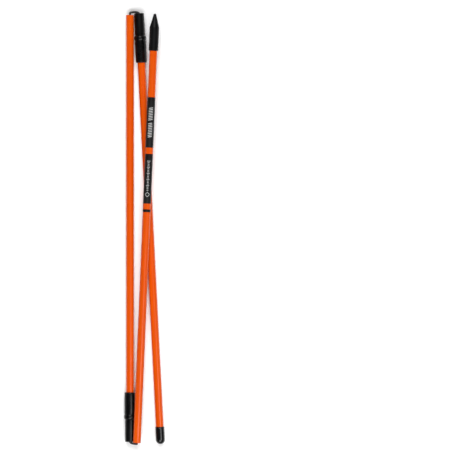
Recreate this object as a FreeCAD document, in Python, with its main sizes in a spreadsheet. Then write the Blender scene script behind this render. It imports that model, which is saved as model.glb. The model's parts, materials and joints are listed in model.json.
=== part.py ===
import FreeCAD, Part
import math
import os

import Sketcher
from FreeCAD import Placement, Rotation, Vector

# A golf alignment stick in three sections, folded. Each section is a tube with one open end. Local frames
# have their origin on the section's axis at that open end (a sleeve's mouth, or a bare tube's end) and
# local +Z pointing along the section, away from it. The middle section lies along +Y.

# alias: (millimetres or degrees, what it is)
DIMENSIONS = {
    "tube_outer": (7.6, "outside diameter of the three tubes"),
    "tube_bore": (5.0, "inside diameter of the three tubes"),
    "middle_tube_length": (394.4, "middle tube"),
    "tip_tube_length": (400.0, "tube of the section that carries the spike"),
    "end_tube_length": (391.6, "tube of the section that carries the round cap"),
    "sleeve_length": (48.5, "a ferrule, mouth to back"),
    "sleeve_free_outer": (9.7, "a ferrule's outside diameter on its free half"),
    "sleeve_glued_outer": (10.9, "a ferrule's outside diameter on its glued half"),
    "sleeve_running_gap": (0.07, "radial play of a tube in a ferrule's free half"),
    "mouth_round": (0.6, "rounding of a ferrule's mouth"),
    "back_round": (1.2, "rounding of a ferrule's glued end"),
    "collar_outer": (11.7, "diameter over a ferrule's raised collar"),
    "collar_width": (5.0, "width of the raised collar at its foot"),
    "groove_width": (0.6, "thin groove on each side of the collar"),
    "groove_depth": (0.3, "depth of that groove below the free half's surface"),
    "glue_gap": (0.05, "radial glue line of a glued or pushed-on part"),
    "spike_length": (36.5, "spike, base to point"),
    "spike_outer": (9.2, "diameter of the spike's cylinder"),
    "spike_shank": (23.0, "length of the spike's cylinder"),
    "spike_nose": (1.4, "radius of the spike's rounded point"),
    "spike_base_round": (1.0, "radius of the rounding round the spike's base"),
    "spike_base_inset": (0.5, "how far that rounding runs in over the base"),
    "spike_base_height": (0.8, "how far it runs up the spike's side"),
    "spike_socket": (16.0, "depth the tip tube goes into the spike"),
    "spike_chamber": (7.0, "depth of the knot's chamber beyond that"),
    "chamber_bore": (6.6, "diameter of the knot's chamber"),
    "cap_length": (17.0, "round cap, open end to pole"),
    "cap_outer": (9.0, "outside diameter of the round cap"),
    "cap_socket": (9.6, "depth the end tube goes into the cap"),
    "cap_lip": (0.4, "rounding of the cap's open edge"),
    "cord_thickness": (2.2, "diameter of the elastic cord"),
    "bend_rise": (1.3, "how far the cord's line crosses beyond the open ends"),
    "fold_share": (0.8, "fold pivot's place on that crossing, as a share of it from the still section"),
    "tube_bend": (2.9, "cord's bend radius over a tube's rim"),
    "sleeve_bend": (4.2, "cord's bend radius over a ferrule's rim"),
    "cord_lead": (26.0, "length of cord just inside an open tube end"),
    "bend_inset": (2.0, "how deep in an open tube end a cord bend starts"),
    "washer_outer": (7.4, "outside diameter of a knot's washer"),
    "washer_bore": (2.6, "hole of a knot's washer"),
    "washer_thickness": (0.8, "thickness of a knot's washer"),
    "knot_width": (5.2, "width of a knot"),
    "knot_end": (2.8, "width of a knot at its flat ends"),
    "knot_length": (4.0, "length of a knot"),
    "wrap_thickness": (0.1, "thickness of the printed wraps"),
    "upper_wrap_start": (289.3, "upper printed wrap, from the tip tube's open end"),
    "upper_wrap_length": (49.3, "upper printed wrap"),
    "lower_wrap_start": (234.5, "lower printed wrap, from the tip tube's open end"),
    "lower_wrap_length": (48.7, "lower printed wrap"),
    "stripe_start": (226.2, "narrow printed stripe, from the tip tube's open end"),
    "stripe_length": (2.7, "narrow printed stripe"),
    "tip_aside": (6.96, "tip tube's open end beside the lower ferrule's axis, along X"),
    "tip_above": (5.5, "tip tube's open end above the lower ferrule's axis"),
    "tip_beyond": (0.65, "tip tube's open end past the lower ferrule's mouth, along -Y"),
    "tip_lean": (2.43, "angle in plan between the tip section and the middle section"),
    "tip_rise": (0.72, "angle at which the tip section climbs towards its spike"),
    "end_aside": (8.8, "upper ferrule's mouth beside the middle tube's axis, along X"),
    "end_beyond": (1.7, "upper ferrule's mouth past the middle tube's top end, along +Y"),
    "end_lean": (2.87, "angle in plan between the end section and the middle section"),
}
SEAT_CLEARANCE = 0.25  # a fully seated tube stops this far short of the tube it meets
VOLUME_TOLERANCE = 0.01  # a swept cord may differ by this share from its length times its section
ALONG = Vector(0, 0, 1)


def make_sheet(doc):
    """The spreadsheet of driving dimensions: a name, a plain number and a note in each row."""
    sheet = doc.addObject("Spreadsheet::Sheet", "Dimensions")
    for row, (alias, (value, note)) in enumerate(DIMENSIONS.items(), start=1):
        sheet.set(f"A{row}", alias)
        sheet.set(f"B{row}", str(value))
        sheet.setAlias(f"B{row}", alias)
        sheet.set(f"C{row}", note)
    doc.recompute()
    return sheet


def named(expression):
    """An expression in the sheet's aliases, written as other objects of the document refer to them."""
    words = expression.replace("(", " ( ").replace(")", " ) ").split()
    return " ".join(f"Dimensions.{word}" if word in DIMENSIONS else word for word in words)


def size(doc, expression):
    """The number that an expression in the sheet's aliases stands for now."""
    found = doc.getObject("Dimensions").evalExpression(named(expression))
    return float(getattr(found, "Value", found))


def new_body(doc, name, plane_role):
    """A body with one sketch on an origin plane."""
    body = doc.addObject("PartDesign::Body", name)
    body.Label = name
    sketch = body.newObject("Sketcher::SketchObject", f"{name}_outline")
    plane = next(f for f in body.Origin.OriginFeatures if f.Role == plane_role)
    sketch.AttachmentSupport = [(plane, "")]
    sketch.MapMode = "FlatFace"
    return body, sketch


def ring_body(doc, name, outer, bore, start, length):
    """A straight round tube: two circles padded along the section."""
    body, sketch = new_body(doc, name, "XY_Plane")
    sketch.setExpression("AttachmentOffset.Base.z", named(start))
    for diameter in (outer, bore):
        circle = Part.Circle(Vector(), ALONG, size(doc, diameter) / 2)
        index = sketch.addGeometry(circle, False)
        sketch.addConstraint(Sketcher.Constraint("Coincident", index, 3, -1, 1))
        sized = sketch.addConstraint(Sketcher.Constraint("Diameter", index, size(doc, diameter)))
        sketch.setExpression(f"Constraints[{sized}]", named(diameter))
    pad = body.newObject("PartDesign::Pad", f"{name}_pad")
    pad.Profile = sketch
    pad.setExpression("Length", named(length))
    sketch.Visibility = False
    return body


def arc_between(start, end, radius, centre_on_left):
    """The short arc from start to end. A sketch keeps its arcs anticlockwise, so one whose centre is on the
    right runs from end to start."""
    chord = end - start
    offset = math.sqrt(max(radius**2 - (chord.Length / 2) ** 2, 0))
    left = Vector(-chord.y, chord.x, 0).normalize()
    centre = (start + end) * 0.5 + left * (offset if centre_on_left else -offset)
    first, last = (start, end) if centre_on_left else (end, start)
    angles = [math.atan2(p.y - centre.y, p.x - centre.x) for p in (first, last)]
    return Part.ArcOfCircle(Part.Circle(centre, ALONG, radius), *angles)


def turned_body(doc, name, outline):
    """A turned part: a closed outline of (radius, height) corners revolved round the section's axis.

    A corner may have a third and a fourth entry, the radius of the arc that leads to the next corner, and
    the side its centre is on.
    """
    body, sketch = new_body(doc, name, "XZ_Plane")
    corners = [Vector(size(doc, c[0]), size(doc, c[1]), 0) for c in outline]
    count = len(outline)
    ends = []
    for i, corner in enumerate(outline):
        start, end = corners[i], corners[(i + 1) % count]
        if len(corner) == 2:
            sketch.addGeometry(Part.LineSegment(start, end), False)
            ends.append((1, 2))
            continue
        on_left = corner[3] == "left"
        sketch.addGeometry(arc_between(start, end, size(doc, corner[2]), on_left), False)
        ends.append((1, 2) if on_left else (2, 1))
    for i, corner in enumerate(outline):
        begin, finish = ends[i]
        sketch.addConstraint(
            Sketcher.Constraint("Coincident", i, finish, (i + 1) % count, ends[(i + 1) % count][0])
        )
        for axis, value, other_axis in (("DistanceX", corner[0], -2), ("DistanceY", corner[1], -1)):
            if value == "0":
                sketch.addConstraint(Sketcher.Constraint("PointOnObject", i, begin, other_axis))
                continue
            held = sketch.addConstraint(
                Sketcher.Constraint(axis, -1, 1, i, begin, size(doc, value))
            )
            sketch.setExpression(f"Constraints[{held}]", named(value))
        if len(corner) > 2 and "0" in (corner[0], outline[(i + 1) % count][0]):
            # a dome: an arc that ends on the section's axis has its centre on it too
            sketch.addConstraint(Sketcher.Constraint("PointOnObject", i, 3, -2))
        elif len(corner) > 2:
            sized = sketch.addConstraint(Sketcher.Constraint("Radius", i, size(doc, corner[2])))
            sketch.setExpression(f"Constraints[{sized}]", named(corner[2]))
    turn = body.newObject("PartDesign::Revolution", f"{name}_turn")
    turn.Profile = sketch
    turn.ReferenceAxis = (sketch, ["V_Axis"])
    turn.Angle = 360
    sketch.Visibility = False
    return body


def crest(rise):
    """The radius of an arc that climbs by rise over half the collar's width and ends level."""
    return f"( ( {rise} ) ^ 2 + ( collar_width / 2 ) ^ 2 ) / ( 2 * ( {rise} ) )"


def sleeve(doc, name):
    """A moulded ferrule. Its free half runs on a tube, its glued half is bonded to one, and a rounded
    collar between two thin grooves marks where they meet."""
    free, glued = "sleeve_free_outer / 2", "sleeve_glued_outer / 2"
    running = "tube_outer / 2 + sleeve_running_gap"
    bonded = "tube_outer / 2 + glue_gap"
    middle, collar = "sleeve_length / 2", "collar_outer / 2"
    low, high = f"{middle} - collar_width / 2", f"{middle} + collar_width / 2"
    free_floor, glued_floor = f"{free} - groove_depth", f"{glued} - groove_depth"
    return turned_body(
        doc,
        name,
        [
            (running, "0"),
            (f"{free} - mouth_round", "0", "mouth_round", "left"),
            (free, "mouth_round"),
            (free, f"{low} - groove_width"),
            (free_floor, f"{low} - groove_width"),
            (free_floor, low, crest(f"{collar} - ( {free_floor} )"), "left"),
            (collar, middle, crest(f"{collar} - ( {glued_floor} )"), "left"),
            (glued_floor, high),
            (glued_floor, f"{high} + groove_width"),
            (glued, f"{high} + groove_width"),
            (glued, "sleeve_length - back_round", "back_round", "left"),
            (f"{glued} - back_round", "sleeve_length"),
            (bonded, "sleeve_length"),
            (bonded, middle),
            (running, middle),
        ],
    )


def spike(doc, name):
    """The ground spike: a socket for the tube, a chamber for the knot, and a cone with a rounded point.

    The cone is tangent to the point's sphere and meets the cylinder at a plain shoulder."""
    outer, socket = "spike_outer / 2", "tube_outer / 2 + glue_gap"
    cone_length = size(doc, "spike_length - spike_shank")
    nose = size(doc, "spike_nose")
    reach, rise = size(doc, outer), cone_length - nose
    slope = math.atan2(reach, rise) - math.asin(nose / math.hypot(reach, rise))
    touch_radius = f"spike_nose * {math.cos(slope):.6f}"
    touch_height = f"spike_length - spike_nose + spike_nose * {math.sin(slope):.6f}"
    return turned_body(
        doc,
        name,
        [
            (socket, "0"),
            (f"{outer} - spike_base_inset", "0", "spike_base_round", "left"),
            (outer, "spike_base_height"),
            (outer, "spike_shank"),
            (touch_radius, touch_height, "spike_nose", "left"),
            ("0", "spike_length"),
            ("0", "spike_socket + spike_chamber"),
            ("chamber_bore / 2", "spike_socket + spike_chamber"),
            ("chamber_bore / 2", "spike_socket + washer_thickness"),
            (socket, "spike_socket + washer_thickness"),
        ],
    )


def cap(doc, name):
    """The round cap: an even wall with a domed end, pushed over the tube."""
    outer, bore = "cap_outer / 2", "tube_outer / 2 + glue_gap"
    dome = "cap_length - cap_outer / 2"
    return turned_body(
        doc,
        name,
        [
            (bore, "0"),
            (f"{outer} - cap_lip", "0", "cap_lip", "left"),
            (outer, "cap_lip"),
            (outer, dome, outer, "left"),
            ("0", "cap_length"),
            ("0", f"{dome} + {bore}", bore, "right"),
            (bore, dome),
        ],
    )


def knot(doc, name):
    """A tight knot as a barrel with flat ends."""
    bulge = size(doc, "( knot_width - knot_end ) / 2")
    half = size(doc, "knot_length / 2")
    curve = f"{(half**2 + bulge**2) / (2 * bulge):.6f}"
    return turned_body(
        doc,
        name,
        [
            ("0", "0"),
            ("knot_end / 2", "0", curve, "left"),
            ("knot_end / 2", "knot_length"),
            ("0", "knot_length"),
        ],
    )


def cord_run(doc, name, length):
    """A straight stretch of the cord, from the origin along the section."""
    run = doc.addObject("Part::Cylinder", name)
    run.Label = name
    run.setExpression("Radius", named("cord_thickness / 2"))
    run.setExpression("Height", named(length))
    return run


def rounded_route(corners, radii):
    """Edges of a route of straight runs, with an arc of the given radius at each inner corner."""
    edges, last = [], corners[0]
    for before, corner, after, radius in zip(corners, corners[1:], corners[2:], radii):
        back, ahead = (before - corner).normalize(), (after - corner).normalize()
        half = back.getAngle(ahead) / 2
        inward = (back + ahead).normalize()
        enter, leave = (corner + way * (radius / math.tan(half)) for way in (back, ahead))
        middle = corner + inward * (radius / math.sin(half) - radius)
        edges += [Part.LineSegment(last, enter).toShape(), Part.Arc(enter, middle, leave).toShape()]
        last = leave
    edges.append(Part.LineSegment(last, corners[-1]).toShape())
    return edges


def cord_bend(doc, name, corners, radii):
    """The cord where it leaves one open end, crosses over both rims and enters the other."""
    thickness = size(doc, "cord_thickness")
    route = Part.Wire(rounded_route(corners, radii))
    section = Part.Circle(corners[0], corners[1] - corners[0], thickness / 2).toShape()
    solid = route.makePipeShell([Part.Wire(section)], True, False)
    expected = math.pi * thickness**2 / 4 * route.Length
    if abs(solid.Volume - expected) > VOLUME_TOLERANCE * expected:
        raise RuntimeError(f"{name}: volume {solid.Volume:.1f}, expected {expected:.1f}")
    bend = doc.addObject("Part::Feature", name)
    bend.Label = name
    bend.Shape = solid
    return bend


def section_frames(doc):
    """Where each section lies. The middle section's mouth is at the origin, with its axis at z = 0, and
    "top" is that section again, from its other end.

    The two collars and the round cap rest on one level surface, so the end section falls slightly from its
    collar to its cap. The tip section climbs enough for the upper ferrule to swing under the spike."""

    def frame(start, direction):
        return Placement(start, Rotation(ALONG, direction))

    lean, rise = (math.radians(size(doc, a)) for a in ("tip_lean", "tip_rise"))
    tip_start = Vector(size(doc, "tip_aside"), -size(doc, "tip_beyond"), size(doc, "tip_above"))
    tip_way = Vector(math.sin(lean), math.cos(lean), math.tan(rise)).normalize()

    lean = math.radians(size(doc, "end_lean"))
    to_cap = size(doc, "end_tube_length + cap_length - cap_socket - cap_outer / 2")
    fall = math.asin(size(doc, "( collar_outer - cap_outer ) / 2") / to_cap)
    end_way = Vector(math.sin(lean), -math.cos(lean), -math.tan(fall)).normalize()
    collar_drop = end_way.z * size(doc, "sleeve_length / 2")
    top = size(doc, "sleeve_length / 2 + middle_tube_length")
    end_start = Vector(size(doc, "end_aside"), top + size(doc, "end_beyond"), -collar_drop)
    return {
        "middle": frame(Vector(), Vector(0, 1, 0)),
        "top": frame(Vector(0, top, 0), Vector(0, -1, 0)),
        "tip": frame(tip_start, tip_way),
        "end": frame(end_start, end_way),
    }


def along(frame, distance):
    """The point on a section's axis at a distance from its open end."""
    return frame.multVec(Vector(0, 0, distance))


def bend_corners(doc, frames):
    """Each cord bend's route, as the corners of its straight runs and the bend radii between them.

    At the upper joint the crossing is level, just beyond the ferrule's mouth, so it clears its rim."""
    rise, inset, half = (size(doc, a) for a in ("bend_rise", "bend_inset", "sleeve_length / 2"))
    over_tube, over_sleeve = size(doc, "tube_bend"), size(doc, "sleeve_bend")
    middle, tip, top, end = (frames[k] for k in ("middle", "tip", "top", "end"))
    lower = [along(middle, half), along(middle, -rise), along(tip, -rise), along(tip, inset)]
    above_top = size(doc, "end_beyond + bend_rise")
    upper = [along(top, inset), along(top, -above_top), along(end, -rise), along(end, half)]
    return {"lower": (lower, (over_sleeve, over_tube)), "upper": (upper, (over_tube, over_sleeve))}


def build_parts(doc, frames):
    """Every piece of the stick, as a dictionary of document objects, each placed on its section."""
    wrap_outer = "tube_outer + 2 * wrap_thickness"
    middle_top = "sleeve_length / 2 + middle_tube_length"
    end_top = "sleeve_length / 2 + end_tube_length"
    lead_end = "bend_inset + cord_lead"
    # section, object, and where the object's own origin lies along the section
    placed = [
        ("tip", ring_body(doc, "tip_tube", "tube_outer", "tube_bore", "0", "tip_tube_length"), "0"),
        ("middle", ring_body(doc, "middle_tube", "tube_outer", "tube_bore", "0", "middle_tube_length"),
         "sleeve_length / 2"),
        ("end", ring_body(doc, "end_tube", "tube_outer", "tube_bore", "0", "end_tube_length"),
         "sleeve_length / 2"),
        ("middle", sleeve(doc, "lower_ferrule"), "0"),
        ("end", sleeve(doc, "upper_ferrule"), "0"),
        ("tip", spike(doc, "spike_tip"), "tip_tube_length - spike_socket"),
        ("end", cap(doc, "end_cap"), f"{end_top} - cap_socket"),
        ("tip", ring_body(doc, "label_upper_panel", wrap_outer, "tube_outer", "upper_wrap_start",
                          "upper_wrap_length"), "0"),
        ("tip", ring_body(doc, "label_lower_panel", wrap_outer, "tube_outer", "lower_wrap_start",
                          "lower_wrap_length"), "0"),
        ("tip", ring_body(doc, "label_stripe", wrap_outer, "tube_outer", "stripe_start",
                          "stripe_length"), "0"),
        ("tip", ring_body(doc, "tip_washer", "washer_outer", "washer_bore", "0", "washer_thickness"),
         "tip_tube_length"),
        ("end", ring_body(doc, "end_washer", "washer_outer", "washer_bore", "0", "washer_thickness"),
         end_top),
        ("tip", knot(doc, "tip_knot"), "tip_tube_length + washer_thickness"),
        ("end", knot(doc, "end_knot"), f"{end_top} + washer_thickness"),
        ("tip", cord_run(doc, "cord_tip_lead", "cord_lead"), "bend_inset"),
        ("tip", cord_run(doc, "cord_tip_run", f"tip_tube_length + washer_thickness - ( {lead_end} )"),
         lead_end),
        ("middle", cord_run(doc, "cord_middle_run", f"middle_tube_length - ( {lead_end} )"),
         "sleeve_length / 2"),
        ("middle", cord_run(doc, "cord_middle_lead", "cord_lead"), f"{middle_top} - ( {lead_end} )"),
        ("end", cord_run(doc, "cord_end_run", "end_tube_length + washer_thickness"),
         "sleeve_length / 2"),
    ]
    for section, part, start in placed:
        part.Placement = frames[section] * Placement(ALONG * size(doc, start), Rotation())
    parts = [part for _, part, _ in placed]
    for place, (corners, radii) in bend_corners(doc, frames).items():
        parts.append(cord_bend(doc, f"cord_{place}_bend", corners, radii))
    doc.recompute()
    return {part.Label: part for part in parts}


def check(doc, parts):
    """Stops on any object that failed to compute, and on any part that is not one valid solid."""
    failed = [o.Name for o in doc.Objects if {"Invalid", "Error"} & set(o.State)]
    if failed:
        raise RuntimeError(f"not computed: {failed}")
    for name, part in parts.items():
        shape = part.Shape
        if shape.isNull() or not shape.isValid() or len(shape.Solids) != 1:
            raise RuntimeError(f"{name} is not one valid solid")


def stand_on_origin(parts):
    """Moves the whole stick so that the middle of its footprint is the origin. Returns the shift."""
    box = Part.makeCompound([p.Shape for p in parts.values()]).optimalBoundingBox(False, False)
    shift = -Vector(box.Center.x, box.Center.y, box.ZMin)
    for part in parts.values():
        part.Placement = Placement(shift, Rotation()) * part.Placement
    return shift


def fold_open(still, turning, pivot):
    """How a folded section opens: a hinge at the pivot, and a slide that goes along with it.

    The hinge turns the section's open end round to face its neighbour's. The slide brings the two axes in
    line. Returns the hinge's axis, its angle in radians, the slide and the gap it leaves between the ends."""
    back, along_turning = (f.Rotation.multVec(ALONG) for f in (still, turning))
    to_still = still.Base - pivot
    across = to_still - back * to_still.dot(back)
    axis = across.cross(back + along_turning).normalize()
    flat_start, flat_end = (way - axis * way.dot(axis) for way in (along_turning, back * -1))
    angle = flat_start.getAngle(flat_end)
    turned_end = Placement(Vector(), Rotation(axis, math.degrees(angle)), pivot).multVec(turning.Base)
    off = turned_end - still.Base
    gap = -off.dot(back)
    return axis, angle, -(off + back * gap), gap


def joint_table(doc, frames, shift):
    """The stick's joints: each one's axis, and a hinge's pivot and angle or a slide's travel."""
    routes = bend_corners(doc, frames)
    share, sleeve_depth = size(doc, "fold_share"), size(doc, "sleeve_length / 2")
    table = {}
    # joint, the section that stays, the section that turns, and the one whose bare tube pushes in
    for place, still, turning, bare in (("lower", "middle", "tip", "tip"), ("upper", "top", "end", "top")):
        corners, _ = routes[place]
        pivot = corners[1] + (corners[2] - corners[1]) * share
        axis, angle, slide, gap = fold_open(frames[still], frames[turning], pivot)
        inward = frames[bare].Rotation.multVec(ALONG * (-1 if bare == turning else 1))
        table[f"{place}_fold"] = {"axis": tuple(axis), "pos": tuple(pivot + shift), "angle": angle}
        table[f"{place}_shift"] = {"axis": tuple(slide / slide.Length), "travel": slide.Length}
        travel = gap + sleeve_depth - SEAT_CLEARANCE
        table[f"{place}_seat"] = {"axis": tuple(inward), "travel": travel}
    return table


doc = FreeCAD.newDocument("alignment_stick")
make_sheet(doc)
frames = section_frames(doc)
parts = build_parts(doc, frames)
check(doc, parts)
shift = stand_on_origin(parts)
joints = joint_table(doc, frames, shift)

os.makedirs("parts", exist_ok=True)
for name, part in parts.items():
    part.Shape.exportStep(f"parts/{name}.step")
for name, joint in joints.items():
    print(name, joint)
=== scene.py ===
import json
import math

import bpy
import numpy as np
from mathutils import Matrix, Vector

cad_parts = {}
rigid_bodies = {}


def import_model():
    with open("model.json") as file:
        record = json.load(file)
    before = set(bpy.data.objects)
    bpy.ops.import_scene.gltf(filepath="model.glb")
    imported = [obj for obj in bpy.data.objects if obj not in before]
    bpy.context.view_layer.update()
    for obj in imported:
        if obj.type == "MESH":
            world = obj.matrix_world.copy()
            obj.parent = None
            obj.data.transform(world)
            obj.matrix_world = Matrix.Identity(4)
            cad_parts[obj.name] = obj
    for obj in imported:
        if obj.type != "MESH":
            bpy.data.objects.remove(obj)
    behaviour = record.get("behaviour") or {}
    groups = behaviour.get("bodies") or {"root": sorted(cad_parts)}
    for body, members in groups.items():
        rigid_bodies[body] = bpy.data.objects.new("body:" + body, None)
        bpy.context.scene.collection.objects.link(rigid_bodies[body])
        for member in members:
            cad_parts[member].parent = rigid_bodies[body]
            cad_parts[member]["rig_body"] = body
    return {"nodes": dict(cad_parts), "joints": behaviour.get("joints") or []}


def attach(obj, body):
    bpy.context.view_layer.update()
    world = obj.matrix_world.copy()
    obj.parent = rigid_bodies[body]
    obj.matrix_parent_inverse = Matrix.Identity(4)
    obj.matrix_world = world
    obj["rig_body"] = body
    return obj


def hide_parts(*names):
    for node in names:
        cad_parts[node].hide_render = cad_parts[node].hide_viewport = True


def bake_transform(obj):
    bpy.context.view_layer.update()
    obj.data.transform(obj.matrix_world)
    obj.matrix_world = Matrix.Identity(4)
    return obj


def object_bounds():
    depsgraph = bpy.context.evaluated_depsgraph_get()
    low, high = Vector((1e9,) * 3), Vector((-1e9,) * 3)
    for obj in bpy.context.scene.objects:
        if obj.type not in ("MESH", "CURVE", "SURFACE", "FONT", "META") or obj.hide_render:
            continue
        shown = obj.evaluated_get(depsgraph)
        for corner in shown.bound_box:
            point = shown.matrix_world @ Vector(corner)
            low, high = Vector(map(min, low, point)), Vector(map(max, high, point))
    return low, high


# A golf alignment stick in three sections, folded: lacquered tubes, moulded ferrules, a ground spike, a
# dipped vinyl cap, printed wraps and a braided elastic cord. Everything is in metres, in the CAD's frame.

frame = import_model()
cad_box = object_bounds()
NODES = frame["nodes"]
MM = 0.001
DECIMALS = 6  # CAD vertices are rounded to so many decimals of a metre
HEIGHT_SLACK = 1e-6  # so heights along a node are compared with this much room
END_RING_DEPTH = 0.1 * MM  # vertices this near to a tube's end belong to its end ring


# ---- where things are -----------------------------------------------------------------------------


def node_points(node):
    """A CAD node's vertices, each place once."""
    mesh = NODES[node].data
    flat = np.empty(len(mesh.vertices) * 3)
    mesh.vertices.foreach_get("co", flat)
    return np.unique(flat.reshape(-1, 3).round(DECIMALS), axis=0)


def tube_axis(tube):
    """A tube's axis: the middle of its lower end ring, and the unit direction to its upper one."""
    points = node_points(tube)
    centred = points - points.mean(0)
    way = np.linalg.svd(centred, full_matrices=False)[2][0]
    way = way * np.sign(way[1])
    heights = centred @ way
    ends = heights.min(), heights.max()
    low, high = (points[abs(heights - end) < END_RING_DEPTH].mean(0) for end in ends)
    return low, (high - low) / np.linalg.norm(high - low)


MIDDLE_AXIS, TIP_AXIS, END_AXIS = (tube_axis(t) for t in ("middle_tube", "tip_tube", "end_tube"))
AXES = {
    "middle_section": MIDDLE_AXIS,
    "upper_cord_lead": MIDDLE_AXIS,
    "tip_section": TIP_AXIS,
    "lower_cord_lead": TIP_AXIS,
    "end_section": END_AXIS,
}


class Turned:
    """A CAD node that is turned round its section's axis: its place, its length and its radii.

    Its own frame starts at the node's "low" or "high" end, with z along the node and y facing up."""

    def __init__(self, node, starts):
        self.node = node
        self.body = NODES[node]["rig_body"]
        point, way = AXES[self.body]
        offsets = node_points(node) - point
        along = offsets @ way
        self.distances = np.linalg.norm(offsets - np.outer(along, way), axis=1)
        begin = along.min() if starts == "low" else along.max()
        self.start = Vector(point + way * begin)
        self.way = Vector(way if starts == "low" else -way)
        self.heights = abs(along - begin)
        self.length = float(self.heights.max())
        up = Vector((0, 0, 1))
        y = (up - self.way * up.dot(self.way)).normalized()
        x = y.cross(self.way)
        self.matrix = Matrix.Translation(self.start) @ Matrix((x, y, self.way)).transposed().to_4x4()

    def radii(self, low_share, high_share):
        """The least and greatest radius between two heights, given as shares of the length."""
        low, high = low_share * self.length - HEIGHT_SLACK, high_share * self.length + HEIGHT_SLACK
        here = self.distances[(self.heights >= low) & (self.heights <= high)]
        return float(here.min()), float(here.max())

    def at(self, height):
        """The point on the axis at a height above the start."""
        return self.start + self.way * height


# ---- shapes ---------------------------------------------------------------------------------------


ARC_STEP = math.radians(8)  # the most that one facet of a rounded corner turns
LONGEST_FACET = 8 * MM  # along a lathe profile
SAME_PLACE = 1e-7  # nearer than this, two points are one


def rounded_profile(corners):
    """A closed lathe profile from (radius, height, rounding) corners, with each rounding as an arc."""
    points = []
    count = len(corners)
    for i, (radius, height, rounding) in enumerate(corners):
        corner = Vector((radius, height))
        if not rounding:
            points.append(corner)
            continue
        back = (Vector(corners[i - 1][:2]) - corner).normalized()
        ahead = (Vector(corners[(i + 1) % count][:2]) - corner).normalized()
        half = back.angle(ahead) / 2
        centre = corner + (back + ahead).normalized() * (rounding / math.sin(half))
        reach = rounding / math.tan(half)
        first, last = corner + back * reach - centre, corner + ahead * reach - centre
        begin = math.atan2(first.y, first.x)
        turn = (math.atan2(last.y, last.x) - begin + math.pi) % (2 * math.pi) - math.pi
        steps = max(3, math.ceil(abs(turn) / ARC_STEP))
        for k in range(steps + 1):
            angle = begin + turn * k / steps
            points.append(centre + Vector((math.cos(angle), math.sin(angle))) * rounding)
    return with_short_facets([p for i, p in enumerate(points) if (p - points[i - 1]).length > SAME_PLACE])


def with_short_facets(profile):
    """The same closed lathe profile, with points added so that no facet is too long."""
    out = []
    for here, there in zip(profile, [*profile[1:], profile[0]]):
        parts = math.ceil((there - here).length / LONGEST_FACET)
        out += [here.lerp(there, k / parts) for k in range(parts)]
    return out


def mesh_piece(name, places, faces, local, material, sharp=35):
    """A smooth-shaded mesh object that keeps each point's place in the piece's own frame for its material."""
    mesh = bpy.data.meshes.new(name)
    mesh.from_pydata([tuple(p) for p in places], [], faces)
    mesh.validate()
    mesh.shade_smooth()
    mesh.set_sharp_from_angle(angle=math.radians(sharp))
    attribute = mesh.attributes.new("local", "FLOAT_VECTOR", "POINT")
    attribute.data.foreach_set("vector", np.asarray(local, np.float32).ravel())
    mesh.materials.append(material)
    piece = bpy.data.objects.new(name, mesh)
    bpy.context.scene.collection.objects.link(piece)
    return piece


def angles_round(sides):
    """Even angles, one for each side of a ring."""
    return [2 * math.pi * k / sides for k in range(sides)]


def ring_faces(rings, sides, start=0, joined=False):
    """Faces between neighbouring rings of points, and from the last ring to the first if joined. start is
    the first ring's first point."""
    faces = []
    for i in range(rings if joined else rings - 1):
        here, there = start + i * sides, start + (i + 1) % rings * sides
        for k in range(sides):
            following = (k + 1) % sides
            faces.append((here + k, here + following, there + following, there + k))
    return faces


def turned_surface(profile, sides, swell=None):
    """Points and faces of a closed profile revolved round z. Two neighbouring points on the axis join
    nothing. swell adds to a radius, given that radius and its angle."""
    points, faces, rings = [], [], []
    for radius, height in profile:
        if radius < SAME_PLACE:
            rings.append([len(points)])
            points.append((0.0, 0.0, height))
            continue
        rings.append(range(len(points), len(points) + sides))
        for angle in angles_round(sides):
            wide = radius + (swell(radius, angle) if swell else 0)
            points.append((wide * math.cos(angle), wide * math.sin(angle), height))
    for here, there in zip(rings, [*rings[1:], rings[0]]):
        for k in range(sides):
            following = (k + 1) % sides
            if len(here) == 1 and len(there) == 1:
                break
            if len(here) == 1:
                faces.append((here[0], there[following], there[k]))
            elif len(there) == 1:
                faces.append((here[k], here[following], there[0]))
            else:
                faces.append((here[k], here[following], there[following], there[k]))
    return points, faces


def lathe(turned, profile, material, sides=64, swell=None):
    """A turned piece that stands for its CAD node and rides with it."""
    points, faces = turned_surface(profile, sides, swell)
    places = [turned.matrix @ Vector(p) for p in points]
    piece = mesh_piece(f"{turned.node}_detailed", places, faces, points, material)
    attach(piece, turned.body)
    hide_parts(turned.node)
    return piece


def mould_lines(outside, height=0.05 * MM, width=0.22 * MM):
    """The fine ridge where two mould halves met, on both sides of a piece, outside the given radius."""

    def swell(radius, angle):
        if radius < outside:
            return 0
        distance = radius * min(abs(angle), abs(angle - math.pi), abs(angle - 2 * math.pi))
        return height * math.exp(-((distance / width) ** 2))

    return swell


# ---- materials ------------------------------------------------------------------------------------


NOISE_ROUGHNESS = 0.55  # how strong each finer layer of a noise is


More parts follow.
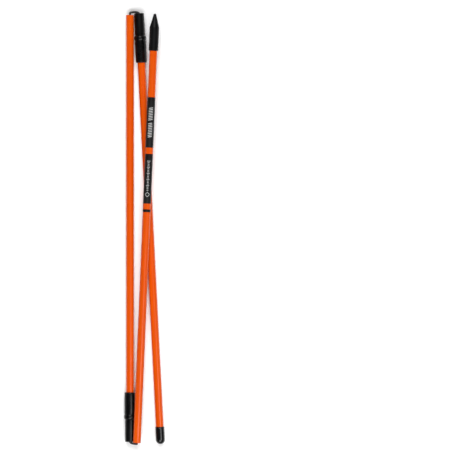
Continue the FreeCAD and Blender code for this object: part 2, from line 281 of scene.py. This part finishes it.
class Nodes:
    """A material's node tree, with short ways to add the nodes that several materials use."""

    def __init__(self, name):
        self.material = bpy.data.materials.new(name)
        self.material.use_nodes = True
        self.tree = self.material.node_tree
        self.shader = self.tree.nodes["Principled BSDF"]
        self.local = self.add("ShaderNodeAttribute", attribute_name="local").outputs["Vector"]

    def add(self, kind, **settings):
        node = self.tree.nodes.new(kind)
        for key, value in settings.items():
            setattr(node, key, value)
        return node

    def feed(self, socket, value):
        if isinstance(value, bpy.types.NodeSocket):
            self.tree.links.new(value, socket)
        else:
            socket.default_value = value

    def set(self, **sockets):
        """Sets the shader's sockets. Underscores in a name stand for spaces."""
        for name, value in sockets.items():
            self.feed(self.shader.inputs[name.replace("_", " ")], value)

    def math(self, operation, first, second=0.0):
        node = self.add("ShaderNodeMath", operation=operation)
        for socket, value in zip(node.inputs, (first, second)):
            self.feed(socket, value)
        return node.outputs[0]

    def axis(self, letter):
        """One coordinate of the piece's own frame."""
        node = self.add("ShaderNodeSeparateXYZ")
        self.feed(node.inputs[0], self.local)
        return node.outputs[letter]

    def noise(self, scale, detail=4.0, shift=0.0):
        """Noise with so many features per metre along x, y and z of the piece's own frame. A shift makes
        it unlike another noise of the same material."""
        mapping = self.add("ShaderNodeMapping")
        self.feed(mapping.inputs["Vector"], self.local)
        mapping.inputs["Scale"].default_value = scale
        mapping.inputs["Location"].default_value = (shift, shift, shift)
        node = self.add("ShaderNodeTexNoise")
        self.feed(node.inputs["Vector"], mapping.outputs["Vector"])
        node.inputs["Scale"].default_value = 1.0
        node.inputs["Detail"].default_value = detail
        node.inputs["Roughness"].default_value = NOISE_ROUGHNESS
        return node.outputs["Fac"]

    def ramp(self, factor, start, end, low, high):
        """A factor between start and end turned smoothly into a value between low and high."""
        node = self.add("ShaderNodeMapRange", interpolation_type="SMOOTHSTEP")
        for name, value in (("Value", factor), ("From Min", start), ("From Max", end),
                            ("To Min", low), ("To Max", high)):
            self.feed(node.inputs[name], value)
        return node.outputs["Result"]

    def mix(self, factor, first, second):
        """The first colour where the factor is 0, and the second where it is 1."""
        node = self.add("ShaderNodeMix", data_type="RGBA")
        self.feed(node.inputs["Factor"], factor)
        for socket, colour in (("A", first), ("B", second)):
            linked = isinstance(colour, bpy.types.NodeSocket)
            self.feed(node.inputs[socket], colour if linked else (*colour, 1))
        return node.outputs["Result"]

    def bump(self, height, distance, before=None):
        """A bump of so many metres, on top of another one if given."""
        node = self.add("ShaderNodeBump")
        node.inputs["Strength"].default_value = 1.0
        node.inputs["Distance"].default_value = distance
        self.feed(node.inputs["Height"], height)
        if before is not None:
            self.feed(node.inputs["Normal"], before)
        return node.outputs["Normal"]


ORANGE, PALE_ORANGE, DEEP_ORANGE = (0.62, 0.066, 0.0002), (0.69, 0.088, 0.0004), (0.60, 0.056, 0.0002)
RUBBED_ORANGE, RING_BROWN = (0.86, 0.16, 0.03), (0.35, 0.035, 0.002)
RING_HEIGHT = 24.2 * MM  # from a tube's open end to the faint ring that its ferrule's mouth leaves
RUBBED_HEIGHTS = 21.0 * MM, 25.5 * MM  # over these heights the rubbing by the ferrule fades out


def lacquer_material():
    """Glossy orange lacquer over glass fibre: faint streaks along the rod, a soft orange peel, and rubbed
    skin where the open end goes into a ferrule."""
    m = Nodes("orange_lacquer")
    streaks = m.noise((700, 700, 9), detail=5)
    clouds = m.noise((60, 60, 14), detail=2, shift=3.1)
    scuffs = m.ramp(m.noise((1500, 1500, 260), detail=6, shift=7.7), 0.52, 0.66, 0, 1)
    rubbed = m.math("MULTIPLY", scuffs, m.ramp(m.axis("Z"), *RUBBED_HEIGHTS, 0.6, 0.05))
    from_ring = m.math("ABSOLUTE", m.math("SUBTRACT", m.axis("Z"), RING_HEIGHT))
    ring = m.ramp(from_ring, 0.1 * MM, 0.6 * MM, 1, 0)
    colour = m.mix(m.ramp(streaks, 0.3, 0.7, 0, 1), ORANGE, PALE_ORANGE)
    colour = m.mix(m.ramp(clouds, 0.35, 0.75, 0, 0.45), colour, DEEP_ORANGE)
    colour = m.mix(m.math("MULTIPLY", rubbed, 0.25), colour, RUBBED_ORANGE)
    colour = m.mix(m.math("MULTIPLY", ring, 0.1), colour, RING_BROWN)
    rough = m.math("ADD", m.ramp(clouds, 0.3, 0.7, 0.20, 0.28), m.math("MULTIPLY", rubbed, 0.2))
    peel = m.bump(m.noise((420, 420, 260), detail=2), 0.02 * MM)
    m.set(Base_Color=colour, Roughness=rough, Normal=m.bump(streaks, 0.012 * MM, peel),
          Coat_Weight=0.05, Coat_Roughness=0.12, Specular_IOR_Level=0.3)
    return m.material


def cut_fibre_material():
    """The sawn end of a glass fibre tube: pale, with a fine speckle of fibre ends and a stained rim."""
    m = Nodes("cut_fibre")
    fibres = m.noise((5200, 5200, 900), detail=3)
    stain = m.ramp(m.noise((500, 500, 500), detail=3, shift=1.3), 0.4, 0.7, 0, 0.6)
    dark_fibre, pale_fibre, lacquer_stain = (0.42, 0.20, 0.07), (0.66, 0.40, 0.17), (0.62, 0.09, 0.01)
    colour = m.mix(m.ramp(fibres, 0.35, 0.65, 0, 1), dark_fibre, pale_fibre)
    m.set(Base_Color=m.mix(stain, colour, lacquer_stain), Roughness=0.75, Normal=m.bump(fibres, 0.05 * MM))
    return m.material


def moulded_material(name, dark, light, roughness, specular, grain, scratch_share):
    """Black moulded plastic: a fine moulded grain, uneven sheen and light scratches along the piece. grain
    is its specks per metre, and scratch_share is how far a scratch shows through, 0 to 1."""
    m = Nodes(name)
    patches = m.noise((110, 110, 60), detail=3)
    specks = m.noise((grain, grain, grain), detail=2, shift=4.2)
    scratches = m.ramp(m.noise((2600, 2600, 90), detail=5, shift=9.1), 0.62, 0.72, 0, scratch_share)
    colour = m.mix(m.ramp(patches, 0.3, 0.7, 0, 1), dark, light)
    scratched = (0.02, 0.02, 0.021)
    colour = m.mix(scratches, colour, scratched)
    rough = m.math("ADD", m.ramp(patches, 0.3, 0.7, roughness - 0.05, roughness + 0.05),
                   m.ramp(specks, 0.3, 0.7, -0.03, 0.03))
    m.set(Base_Color=colour, Roughness=rough, Normal=m.bump(specks, 0.012 * MM),
          Specular_IOR_Level=specular)
    return m.material


def vinyl_material():
    """Glossy dipped vinyl: deep black, with the slow waves that a dipped skin sets with."""
    m = Nodes("cap_vinyl")
    waves = m.noise((180, 180, 120), detail=1.5)
    dust = m.ramp(m.noise((4200, 4200, 4200), detail=2, shift=2.2), 0.66, 0.76, 0, 0.35)
    deep_black, dusty = (0.003, 0.003, 0.0035), (0.03, 0.03, 0.03)
    m.set(Base_Color=m.mix(dust, deep_black, dusty),
          Roughness=m.ramp(waves, 0.3, 0.7, 0.16, 0.24), Normal=m.bump(waves, 0.09 * MM),
          Coat_Weight=0.15, Coat_Roughness=0.1, Specular_IOR_Level=0.3)
    return m.material


def film_material():
    """Satin black printed film: nearly flat, with a fine print grain and slow patches of sheen."""
    m = Nodes("panel_film")
    grain = m.noise((3000, 3000, 3000), detail=2)
    cloud = m.noise((140, 140, 70), detail=3, shift=5.0)
    dark, light = (0.0035, 0.003, 0.003), (0.007, 0.006, 0.006)
    m.set(Base_Color=m.mix(m.ramp(cloud, 0.3, 0.7, 0, 1), dark, light), Specular_IOR_Level=0.25,
          Roughness=m.ramp(cloud, 0.3, 0.7, 0.35, 0.45), Normal=m.bump(grain, 0.004 * MM))
    return m.material


def ink_material():
    """Pale screen-printed ink with a grainy, slightly worn coverage."""
    m = Nodes("pale_ink")
    worn = m.ramp(m.noise((2200, 2200, 1300), detail=6), 0.5, 0.72, 0, 0.7)
    full_ink, thin_ink = (0.60, 0.60, 0.59), (0.22, 0.22, 0.22)
    m.set(Base_Color=m.mix(worn, full_ink, thin_ink), Roughness=0.5, Normal=m.bump(worn, -0.006 * MM))
    return m.material


STRANDS = 8  # strands of the cord's sheath that run each way round
STRAND_PITCH = 1.15 * MM  # along the cord, from one strand to the next
STRAND_FIBRES = 14  # rises and dips of fibre over a strand's width


def braid_height(angle, along):
    """How far a braided sheath stands up, 0 to 1, at an angle round the cord and a distance along it."""
    turn = STRANDS * angle / (2 * math.pi)
    rise = along / STRAND_PITCH
    return abs(math.sin(math.pi * (turn + rise)) * math.sin(math.pi * (turn - rise))) ** 0.5


def cord_material():
    """The cord's black braided sheath: two ways of strands, one painted lighter as a tone and a painted
    highlight, fine fibres along each, a soft sheen.
    """
    m = Nodes("cord_sheath")
    angle = m.math("ARCTAN2", m.axis("Y"), m.axis("X"))
    turn = m.math("MULTIPLY", angle, STRANDS / (2 * math.pi))
    rise = m.math("DIVIDE", m.axis("Z"), STRAND_PITCH)
    across_one, across_other = m.math("ADD", turn, rise), m.math("SUBTRACT", turn, rise)

    def ridges(across, count):
        return m.math("SINE", m.math("MULTIPLY", across, count * math.pi))

    weave = m.math("MULTIPLY", ridges(across_one, 1), ridges(across_other, 1))
    top = m.ramp(weave, -0.05, 0.05, 0, 1)
    fibres = m.math("ADD", m.math("MULTIPLY", ridges(across_one, STRAND_FIBRES), top),
                    m.math("MULTIPLY", ridges(across_other, STRAND_FIBRES), m.math("SUBTRACT", 1.0, top)))
    fuzz = m.noise((5000, 5000, 3000), detail=4)
    # Where one way of strands lies on top it is painted lighter than the other: partly its own tone, partly a
    # painted highlight.
    plain_strand_tone, strand_painted_highlight, fuzzy = (0.006, 0.006, 0.0065), (0.012, 0.012, 0.013), (0.035, 0.035, 0.038)
    colour = m.mix(top, plain_strand_tone, strand_painted_highlight)
    colour = m.mix(m.ramp(fuzz, 0.55, 0.75, 0, 0.5), colour, fuzzy)
    hump = m.bump(m.math("SQRT", m.math("ABSOLUTE", weave)), 0.08 * MM)
    m.set(Base_Color=colour, Roughness=0.72, Sheen_Weight=0.3,
          Normal=m.bump(m.math("ADD", fibres, fuzz), 0.012 * MM, hump))
    return m.material


def steel_material():
    """Zinc-plated steel with faint turning rings and dull patches."""
    m = Nodes("washer_steel")
    ring_pitch = 0.15 * MM
    across = m.math("SQRT", m.math("ADD", m.math("POWER", m.axis("X"), 2), m.math("POWER", m.axis("Y"), 2)))
    rings = m.math("SINE", m.math("MULTIPLY", across, 2 * math.pi / ring_pitch))
    dull = m.noise((600, 600, 600), detail=4)
    bright, tarnished = (0.55, 0.55, 0.56), (0.40, 0.41, 0.43)
    m.set(Base_Color=m.mix(m.ramp(dull, 0.35, 0.7, 0, 1), bright, tarnished), Metallic=1.0,
          Roughness=m.ramp(dull, 0.3, 0.7, 0.28, 0.42), Normal=m.bump(rings, 0.004 * MM))
    return m.material


def floor_material():
    """A pale matt table."""
    m = Nodes("pale_floor")
    m.set(Base_Color=(0.96, 0.96, 0.96, 1), Roughness=0.9, Specular_IOR_Level=0.1)
    return m.material


LACQUER, CUT_FIBRE = lacquer_material(), cut_fibre_material()
FERRULE_BLACK = moulded_material(
    "ferrule_plastic", dark=(0.0010, 0.0010, 0.0012), light=(0.0022, 0.0022, 0.0024),
    roughness=0.30, specular=0.24, grain=2400, scratch_share=0.18,
)
SPIKE_BLACK = moulded_material(
    "spike_plastic", dark=(0.0014, 0.0014, 0.0016), light=(0.0028, 0.0028, 0.0030),
    roughness=0.42, specular=0.14, grain=1500, scratch_share=0.2,
)
VINYL, FILM, INK = vinyl_material(), film_material(), ink_material()
CORD, STEEL = cord_material(), steel_material()


# ---- the turned pieces ----------------------------------------------------------------------------


def make_tube(node, starts):
    """A lacquered tube: cut square, with a small bevel at each end that shows the bare fibre."""
    tube = Turned(node, starts)
    bore, outer = tube.radii(0, 1)
    end = tube.length
    bevel = 0.18 * MM
    corners = [
        (bore, 0, bevel), (outer - bevel, 0, 0), (outer, bevel, 0),
        (outer, end - bevel, 0), (outer - bevel, end, 0), (bore, end, bevel),
    ]
    piece = lathe(tube, rounded_profile(corners), LACQUER, sides=72)
    piece.data.materials.append(CUT_FIBRE)
    cut_depth = 0.5 * bevel + SAME_PLACE
    for face in piece.data.polygons:
        heights = [piece.data.attributes["local"].data[i].vector[2] for i in face.vertices]
        if max(heights) < cut_depth or min(heights) > end - cut_depth:
            face.material_index = 1
    return tube


def collar_crest(foot_low, foot_high, collar, middle, half, steps=14):
    """The collar's full, rounded crest, from the foot of one groove up and over to the other's."""
    fullness = 0.6  # 0.5 would be a half ellipse, and 1 a parabola
    crest = []
    for k in range(1, 2 * steps):
        share = k / steps - 1
        foot = foot_low if share < 0 else foot_high
        crest.append((foot + (collar - foot) * (1 - share**2) ** fullness, middle + half * share, 0))
    return crest


def make_ferrule(node, starts):
    """A moulded ferrule: a slim free half, a collar between two thin grooves, and a thicker glued half."""
    sleeve = Turned(node, starts)
    free_half, collar_part, glued_half = (0, 0.35), (0.4, 0.6), (0.65, 1)
    running, free = sleeve.radii(*free_half)
    bonded, glued = sleeve.radii(*glued_half)
    collar = sleeve.radii(*collar_part)[1]
    length, middle = sleeve.length, sleeve.length / 2
    collar_half, groove_width, groove_depth = 2.5 * MM, 0.6 * MM, 0.3 * MM
    low, high = middle - collar_half, middle + collar_half
    foot_free, foot_glued = free - groove_depth, glued - groove_depth
    groove_edge, mouth_edge, back_edge = 0.08 * MM, 0.6 * MM, 1.2 * MM
    inner_mouth_edge, inner_back_edge = 0.3 * MM, 0.15 * MM
    corners = [
        (running, 0, inner_mouth_edge), (free, 0, mouth_edge),
        (free, low - groove_width, groove_edge), (foot_free, low - groove_width, groove_edge),
        (foot_free, low, 0), *collar_crest(foot_free, foot_glued, collar, middle, collar_half),
        (foot_glued, high, 0),
        (foot_glued, high + groove_width, groove_edge), (glued, high + groove_width, groove_edge),
        (glued, length, back_edge), (bonded, length, inner_back_edge),
        (bonded, middle, 0), (running, middle, 0),
    ]
    lathe(sleeve, rounded_profile(corners), FERRULE_BLACK, sides=160,
          swell=mould_lines(outside=running + 0.2 * MM))
    return sleeve


def make_spike():
    """The ground spike: a rounded base, a cylinder with a soft shoulder, and a cone with a blunt point."""
    spike = Turned("spike_tip", "low")
    length = spike.length
    base, lower_half, up_to_cone = (0, 0.1), (0, 0.5), (0, 0.65)
    socket, outer = spike.radii(*base)[0], spike.radii(*lower_half)[1]
    chamber = spike.radii(*up_to_cone)[0]
    same_radius = 0.02 * MM
    chamber_heights = spike.heights[abs(spike.distances - chamber) < same_radius]
    chamber_floor, chamber_roof = float(chamber_heights.min()), float(chamber_heights.max())
    shoulder = float(spike.heights[spike.distances > outer - 0.5 * same_radius].max())
    socket_edge, base_edge, shoulder_edge, roof_edge = 0.2 * MM, 0.8 * MM, 1.6 * MM, 0.8 * MM
    nose = 1.4 * MM
    rise = length - shoulder - nose
    slope = math.atan2(outer, rise) - math.asin(nose / math.hypot(outer, rise))
    point = [(nose * math.cos(a), length - nose + nose * math.sin(a), 0)
             for a in np.linspace(slope, math.pi / 2, 14)[:-1]]
    corners = [
        (socket, 0, socket_edge), (outer, 0, base_edge), (outer, shoulder, shoulder_edge),
        *point, (0, length, 0), (0, chamber_roof, 0),
        (chamber, chamber_roof, roof_edge), (chamber, chamber_floor, 0), (socket, chamber_floor, 0),
    ]
    lathe(spike, rounded_profile(corners), SPIKE_BLACK, sides=160,
          swell=mould_lines(outside=socket + 0.4 * MM))


def make_cap():
    """The dipped vinyl cap: a rolled lip, a slight waist behind it, and a round dome."""
    cap = Turned("end_cap", "high")
    straight_part = (0, 0.6)
    bore, outer = cap.radii(*straight_part)
    length, wall = cap.length, outer - bore
    lip, lip_foot = 0.9 * MM, 1.44 * MM
    waist, shank = outer - 0.12 * MM, outer - 0.06 * MM
    shank_end = length - outer - 1.0 * MM
    mouth_edge, lip_front, lip_back, waist_curve = 0.25 * MM, 0.35 * MM, 0.3 * MM, 0.5 * MM
    # Each dome is rounded by just under its radius, so that its arc ends a little short of the axis.
    dome, inner_dome = 0.999 * outer, 0.995 * bore
    corners = [
        (bore, 0, mouth_edge), (outer, 0, lip_front), (outer, lip, lip_back), (waist, lip_foot, waist_curve),
        (shank, shank_end, 0), (outer, length, dome),
        (0, length, 0), (0, length - wall, 0), (bore, length - wall, inner_dome),
    ]
    lathe(cap, rounded_profile(corners), VINYL, sides=128)


def make_wrap(node):
    """A printed wrap: thin film with soft edges, and a lapped seam along its under side."""
    wrap = Turned(node, "high")
    inner, outer = wrap.radii(0, 1)
    film = outer - inner
    edge = 0.6 * film
    corners = [(inner, 0, 0), (outer, 0, edge), (outer, wrap.length, edge), (inner, wrap.length, 0)]
    seam = 1.5 * math.pi
    skin, lap_height, lap_width = inner + 0.3 * film, 0.5 * film, 0.5 * MM

    def lap(radius, angle):
        """The outer skin stands up where the film's end lies over its start, and settles beyond it."""
        if radius <= skin or angle <= seam:
            return 0
        return lap_height * math.exp(-(angle - seam) * radius / lap_width)

    lathe(wrap, rounded_profile(corners), FILM, sides=160, swell=lap)
    return wrap


def make_washer(node, starts):
    """A plain washer, with one edge rounded by the punch."""
    washer = Turned(node, starts)
    hole, outer = washer.radii(0, 1)
    thick = washer.length
    punched, burred, hole_edge = 0.25 * MM, 0.05 * MM, 0.1 * MM
    corners = [(hole, 0, hole_edge), (outer, 0, punched), (outer, thick, burred), (hole, thick, hole_edge)]
    lathe(washer, rounded_profile(corners), STEEL, sides=64)


# ---- printed marks --------------------------------------------------------------------------------


INK_DEPTH, INK_HEIGHT = 0.01 * MM, 0.025 * MM  # of a mark's foot below the film, and its face above it
INK_RINGS = 8  # rings of points over a mark's face, so that it follows the film round


def wrapped_marks(name, wrap, outlines):
    """Plain marks printed on a wrap. Each outline is a convex shape of (across, down) points in metres,
    with down from the wrap's upper edge and across measured round the tube from its upper side."""
    radius = wrap.radii(0, 1)[1]
    rings = [(radius - INK_DEPTH, 1.0)]
    rings += [(radius + INK_HEIGHT, k / INK_RINGS) for k in range(INK_RINGS, 0, -1)]
    points, faces = [], []
    for outline in outlines:
        start, sides = len(points), len(outline)
        centre = np.mean(outline, axis=0)
        for level, share in rings:
            for across, down in (centre + (np.array(p) - centre) * share for p in outline):
                angle = math.pi / 2 + across / radius
                points.append((level * math.cos(angle), level * math.sin(angle), down))
        faces += ring_faces(len(rings), sides, start)
        faces.append(tuple(range(len(points) - sides, len(points))))
        faces.append(tuple(reversed(range(start, start + sides))))
    places = [wrap.matrix @ Vector(p) for p in points]
    piece = mesh_piece(name, places, faces, points, INK)
    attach(piece, wrap.body)


def bar(down, wide, long, slant=0.0, steps=8):
    """A bar across the tube: so wide across it and so long down it. slant is how much lower one end is."""
    across = np.linspace(-wide / 2, wide / 2, steps + 1)
    near = [(a, down + slant * a / wide) for a in across]
    far = [(a, down + long + slant * a / wide) for a in across[::-1]]
    return near + far


def diamond_outline(down, size, stroke, steps=4):
    """A plain diamond's outline, as four strips, with its middle so far down."""
    tips = [np.array(t) * size / 2 for t in ((0, -1), (1, 0), (0, 1), (-1, 0))]
    strips = []
    for start, end in zip(tips, [*tips[1:], tips[0]]):
        outside = [start + (end - start) * k / steps for k in range(steps + 1)]
        inside = [p * (1 - 2 * stroke / size) for p in reversed(outside)]
        strips.append([(p[0], p[1] + down) for p in outside + inside])
    return strips


def print_marks(upper, lower):
    """Generic marks in place of lettering: two groups of slanted bars on one wrap, a tick scale and a
    plain diamond outline on the other."""
    pitch, wide, long, slant = 1.62 * MM, 4.1 * MM, 0.6 * MM, 0.8 * MM
    groups = ((10.4 * MM, 8), (25.4 * MM, 9))  # where each group begins, and how many bars it has
    bars = [bar(start + pitch * k, wide, long, slant) for start, count in groups for k in range(count)]
    wrapped_marks("label_upper_marks", upper, bars)
    first, pitch, count = 6.9 * MM, 1.5 * MM, 20
    long_tick, short_tick, stroke = 3.0 * MM, 1.7 * MM, 0.42 * MM
    ticks = [bar(first + pitch * k, long_tick if k % 4 == 0 else short_tick, stroke) for k in range(count)]
    diamond = diamond_outline(down=39.8 * MM, size=5.0 * MM, stroke=0.45 * MM)
    wrapped_marks("label_lower_marks", lower, ticks + diamond)


# ---- the elastic cord -----------------------------------------------------------------------------


CURVE_STEPS = 40  # points read from the curve for each of its segments
BEND_STEP = 0.13 * MM  # from ring to ring along a bend
BRAID_RELIEF = 0.1 * MM  # from the bottom of the sheath's weave to its top
BRAID_MIDDLE = 0.75  # the share of that relief that lies inside the cord's radius
CLOSED_WIDTH = 0.02  # a dome's last ring, as a share of the cord's radius


def smooth_line(control, step):
    """Evenly spaced points on the smooth curve that the control points pull."""
    data = bpy.data.curves.new("line", "CURVE")
    data.dimensions = "3D"
    spline = data.splines.new("NURBS")
    spline.points.add(len(control) - 1)
    for point, place in zip(spline.points, control):
        point.co = (*place, 1)
    spline.order_u = 3
    spline.use_endpoint_u = True
    spline.resolution_u = CURVE_STEPS
    line = bpy.data.objects.new("line", data)
    mesh = bpy.data.meshes.new_from_object(line)
    points = np.array([v.co for v in mesh.vertices])
    bpy.data.meshes.remove(mesh)
    bpy.data.objects.remove(line)
    bpy.data.curves.remove(data)
    run = np.concatenate([[0], np.cumsum(np.linalg.norm(np.diff(points, axis=0), axis=1))])
    count = max(2, round(run[-1] / step))
    even = np.linspace(0, run[-1], count + 1)
    return np.array([np.interp(even, run, points[:, i]) for i in range(3)]).T


def braided(name, line, begin, radius, sides=56, round_start=False, round_end=False):
    """A braided cord along a line, with either end domed if asked. begin is how far along the whole bend
    the line starts."""
    ways = np.gradient(line, axis=0)
    ways /= np.linalg.norm(ways, axis=1)[:, None]
    step = float(np.linalg.norm(line[1] - line[0]))
    rings = [(place, way, begin + i * step, 1.0) for i, (place, way) in enumerate(zip(line, ways))]
    dome = [(radius * math.sin(a), math.cos(a)) for a in np.linspace(math.pi / 2, 0, 8)[:-1]]
    if round_start:
        rings = [(line[0] - ways[0] * out, ways[0], begin - out, wide) for out, wide in dome] + rings
    if round_end:
        end = begin + (len(line) - 1) * step
        rings += [(line[-1] + ways[-1] * out, ways[-1], end + out, wide) for out, wide in reversed(dome)]
    side = np.cross(ways[0], (0.0, 0.0, 1.0))
    points, local = [], []
    for place, way, along, wide in rings:
        side = side - way * (side @ way)
        side /= np.linalg.norm(side)
        other = np.cross(way, side)
        for angle in angles_round(sides):
            relief = BRAID_RELIEF * (braid_height(angle, along) - BRAID_MIDDLE)
            out = max(wide, CLOSED_WIDTH) * (radius + relief)
            points.append(place + (side * math.cos(angle) + other * math.sin(angle)) * out)
            local.append((radius * math.cos(angle), radius * math.sin(angle), along))
    faces = ring_faces(len(rings), sides)
    faces.append(tuple(reversed(range(sides))))
    faces.append(tuple(range(len(points) - sides, len(points))))
    piece = mesh_piece(name, points, faces, local, CORD, sharp=60)
    return piece


def make_bend(place, still, turning, bodies, radius):
    """The exposed cord at one joint, in two halves that meet at the fold's pivot.

    still and turning are (inner end, point by the mouth, corner beyond the mouth) of each side's line. The
    first half stays where it is. The second turns with the section, and both are domed where they meet, so
    the bend stays full at every angle."""
    fold = next(j for j in frame["joints"] if j["name"] == f"{place}_fold")
    pivot = np.array(fold["pos_m"])
    line = smooth_line([*still, *reversed(turning)], BEND_STEP)
    split = int(np.argmin(np.linalg.norm(line - pivot, axis=1)))
    step = float(np.linalg.norm(line[1] - line[0]))
    first = braided(f"cord_{place}_still_half", line[: split + 1], 0, radius, round_end=True)
    second = braided(f"cord_{place}_turning_half", line[split:], split * step, radius, round_start=True)
    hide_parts(f"cord_{place}_bend")
    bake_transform(first)
    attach(second, bodies[2])


def make_cord(middle, tip, lower_sleeve, upper_sleeve):
    """Every stretch of the one elastic cord: the two bends, and the straight runs inside the tubes."""
    radius = Turned("cord_middle_run", "low").radii(0, 1)[1]
    inset = (Turned("cord_tip_lead", "low").start - tip.start).length
    inside = 2.7 * MM  # from a ferrule's mouth to the bend's control point inside it
    beyond = 1.3 * MM  # from a mouth to the bend's control point beyond it
    near_share = 1 / 3  # of the way out, for a bare tube's first control point beyond its mouth
    lower_middle, upper_middle = (sleeve.at(sleeve.length / 2) for sleeve in (lower_sleeve, upper_sleeve))
    lower_still = [lower_middle, lower_sleeve.at(inside), lower_sleeve.at(-beyond)]
    lower_turning = [tip.at(inset), tip.at(-beyond * near_share), tip.at(-beyond)]
    make_bend("lower", lower_still, lower_turning,
              ("middle_section", "lower_cord_link", "lower_cord_lead"), radius)
    level = (upper_sleeve.start - middle.start).dot(-middle.way) + beyond
    upper_still = [middle.at(inset), middle.at(-level * near_share), middle.at(-level)]
    upper_turning = [upper_middle, upper_sleeve.at(inside), upper_sleeve.at(-beyond)]
    make_bend("upper", upper_still, upper_turning,
              ("upper_cord_lead", "upper_cord_link", "end_section"), radius)
    for node in ("cord_tip_lead", "cord_tip_run", "cord_middle_run", "cord_middle_lead", "cord_end_run"):
        stretch = Turned(node, "low")
        profile = [(0, 0), (radius, 0), (radius, stretch.length), (0, stretch.length)]
        lathe(stretch, profile, CORD, sides=32)


def make_knot(node, starts):
    """An overhand knot pulled tight, in the room that its barrel takes."""
    room = Turned(node, starts)
    wide = room.radii(0, 1)[1]
    thick = 0.36 * wide  # the squeezed cord's radius
    steps, sides = 180, 20
    fibre_step = 0.15 * MM  # along the cord's surface pattern, for each step round the knot
    turns = np.linspace(0, 2 * math.pi, steps + 1)[:-1]
    line = np.array([
        np.sin(turns) + 2 * np.sin(2 * turns),
        np.cos(turns) - 2 * np.cos(2 * turns),
        -np.sin(3 * turns),
    ]).T  # a trefoil, 3 in radius and 1 in half height
    line *= np.array([(wide - thick) / 3, (wide - thick) / 3, room.length / 2 - thick])
    line[:, 2] += room.length / 2
    ways = np.roll(line, -1, 0) - np.roll(line, 1, 0)
    ways /= np.linalg.norm(ways, axis=1)[:, None]
    points, local = [], []
    for i, (place, way) in enumerate(zip(line, ways)):
        side = np.cross(way, (0, 0, 1.0))
        side /= np.linalg.norm(side)
        other = np.cross(way, side)
        for angle in angles_round(sides):
            points.append(place + (side * math.cos(angle) + other * math.sin(angle)) * thick)
            local.append((thick * math.cos(angle), thick * math.sin(angle), i * fibre_step))
    places = [room.matrix @ Vector(p) for p in points]
    faces = ring_faces(steps, sides, joined=True)
    piece = mesh_piece(f"{node}_detailed", places, faces, local, CORD)
    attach(piece, room.body)
    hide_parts(node)


# ---- the stage ------------------------------------------------------------------------------------


SUN_SPREAD = math.radians(40)  # the angle that a soft sun fills in the sky


def area_light(name, place, target, size, power):
    """A soft rectangular light that faces a point."""
    data = bpy.data.lights.new(name, "AREA")
    data.shape = "RECTANGLE"
    data.size, data.size_y = size
    data.energy = power
    light = bpy.data.objects.new(name, data)
    light.location = place
    light.rotation_euler = (Vector(target) - Vector(place)).to_track_quat("-Z", "Y").to_euler()
    bpy.context.scene.collection.objects.link(light)


def soft_sun(name, place, strength):
    """Very soft, even light from far away, from the side that a point is on."""
    data = bpy.data.lights.new(name, "SUN")
    data.energy = strength
    data.angle = SUN_SPREAD
    light = bpy.data.objects.new(name, data)
    light.location = place
    light.rotation_euler = Vector(place).to_track_quat("Z", "Y").to_euler()
    bpy.context.scene.collection.objects.link(light)


def make_stage():
    """A wide pale floor at the surface that the stick lies on, under even studio light."""
    reach, gap = 6.0, 0.02 * MM
    points = [(x, y, 0) for x, y in ((-reach, -reach), (reach, -reach), (reach, reach), (-reach, reach))]
    floor = mesh_piece("floor", points, [(0, 1, 2, 3)], points, floor_material())
    floor.location.z = cad_box[0].z - gap
    soft_sun("head", place=(0, 0.75, 1), strength=2.1)
    soft_sun("foot", place=(0, -0.75, 1), strength=2.25)
    area_light("key", place=(0.62, -0.36, 1.15), target=(0, -0.12, 0), size=(0.3, 0.5), power=4.2)
    world = bpy.data.worlds.new("studio")
    world.use_nodes = True
    sky = world.node_tree.nodes["Background"].inputs
    sky["Color"].default_value = (1, 1, 1, 1)
    sky["Strength"].default_value = 0.05
    bpy.context.scene.world = world
    bpy.context.scene.view_settings.view_transform = "Standard"


def make_camera():
    """A long lens, straight above, with the stick at the left of the view."""
    view_middle, height, view_width = (0.0864, -0.0046), 3.0, 0.4557
    stick_height = (cad_box[0].z + cad_box[1].z) / 2
    data = bpy.data.cameras.new("camera")
    data.lens = data.sensor_width * (height - stick_height) / view_width
    data.clip_start, data.clip_end = 0.1, 20
    camera = bpy.data.objects.new("camera", data)
    camera.location = (*view_middle, height)
    bpy.context.scene.collection.objects.link(camera)
    bpy.context.scene.camera = camera


# ---- everything -----------------------------------------------------------------------------------

middle_tube = make_tube("middle_tube", "high")
tip_tube = make_tube("tip_tube", "low")
make_tube("end_tube", "high")
lower_ferrule = make_ferrule("lower_ferrule", "low")
upper_ferrule = make_ferrule("upper_ferrule", "high")
make_spike()
make_cap()
print_marks(make_wrap("label_upper_panel"), make_wrap("label_lower_panel"))
make_wrap("label_stripe")
for body_end, node_starts in (("tip", "low"), ("end", "high")):
    make_washer(f"{body_end}_washer", node_starts)
    make_knot(f"{body_end}_knot", node_starts)
make_cord(middle_tube, tip_tube, lower_ferrule, upper_ferrule)
make_stage()
make_camera()
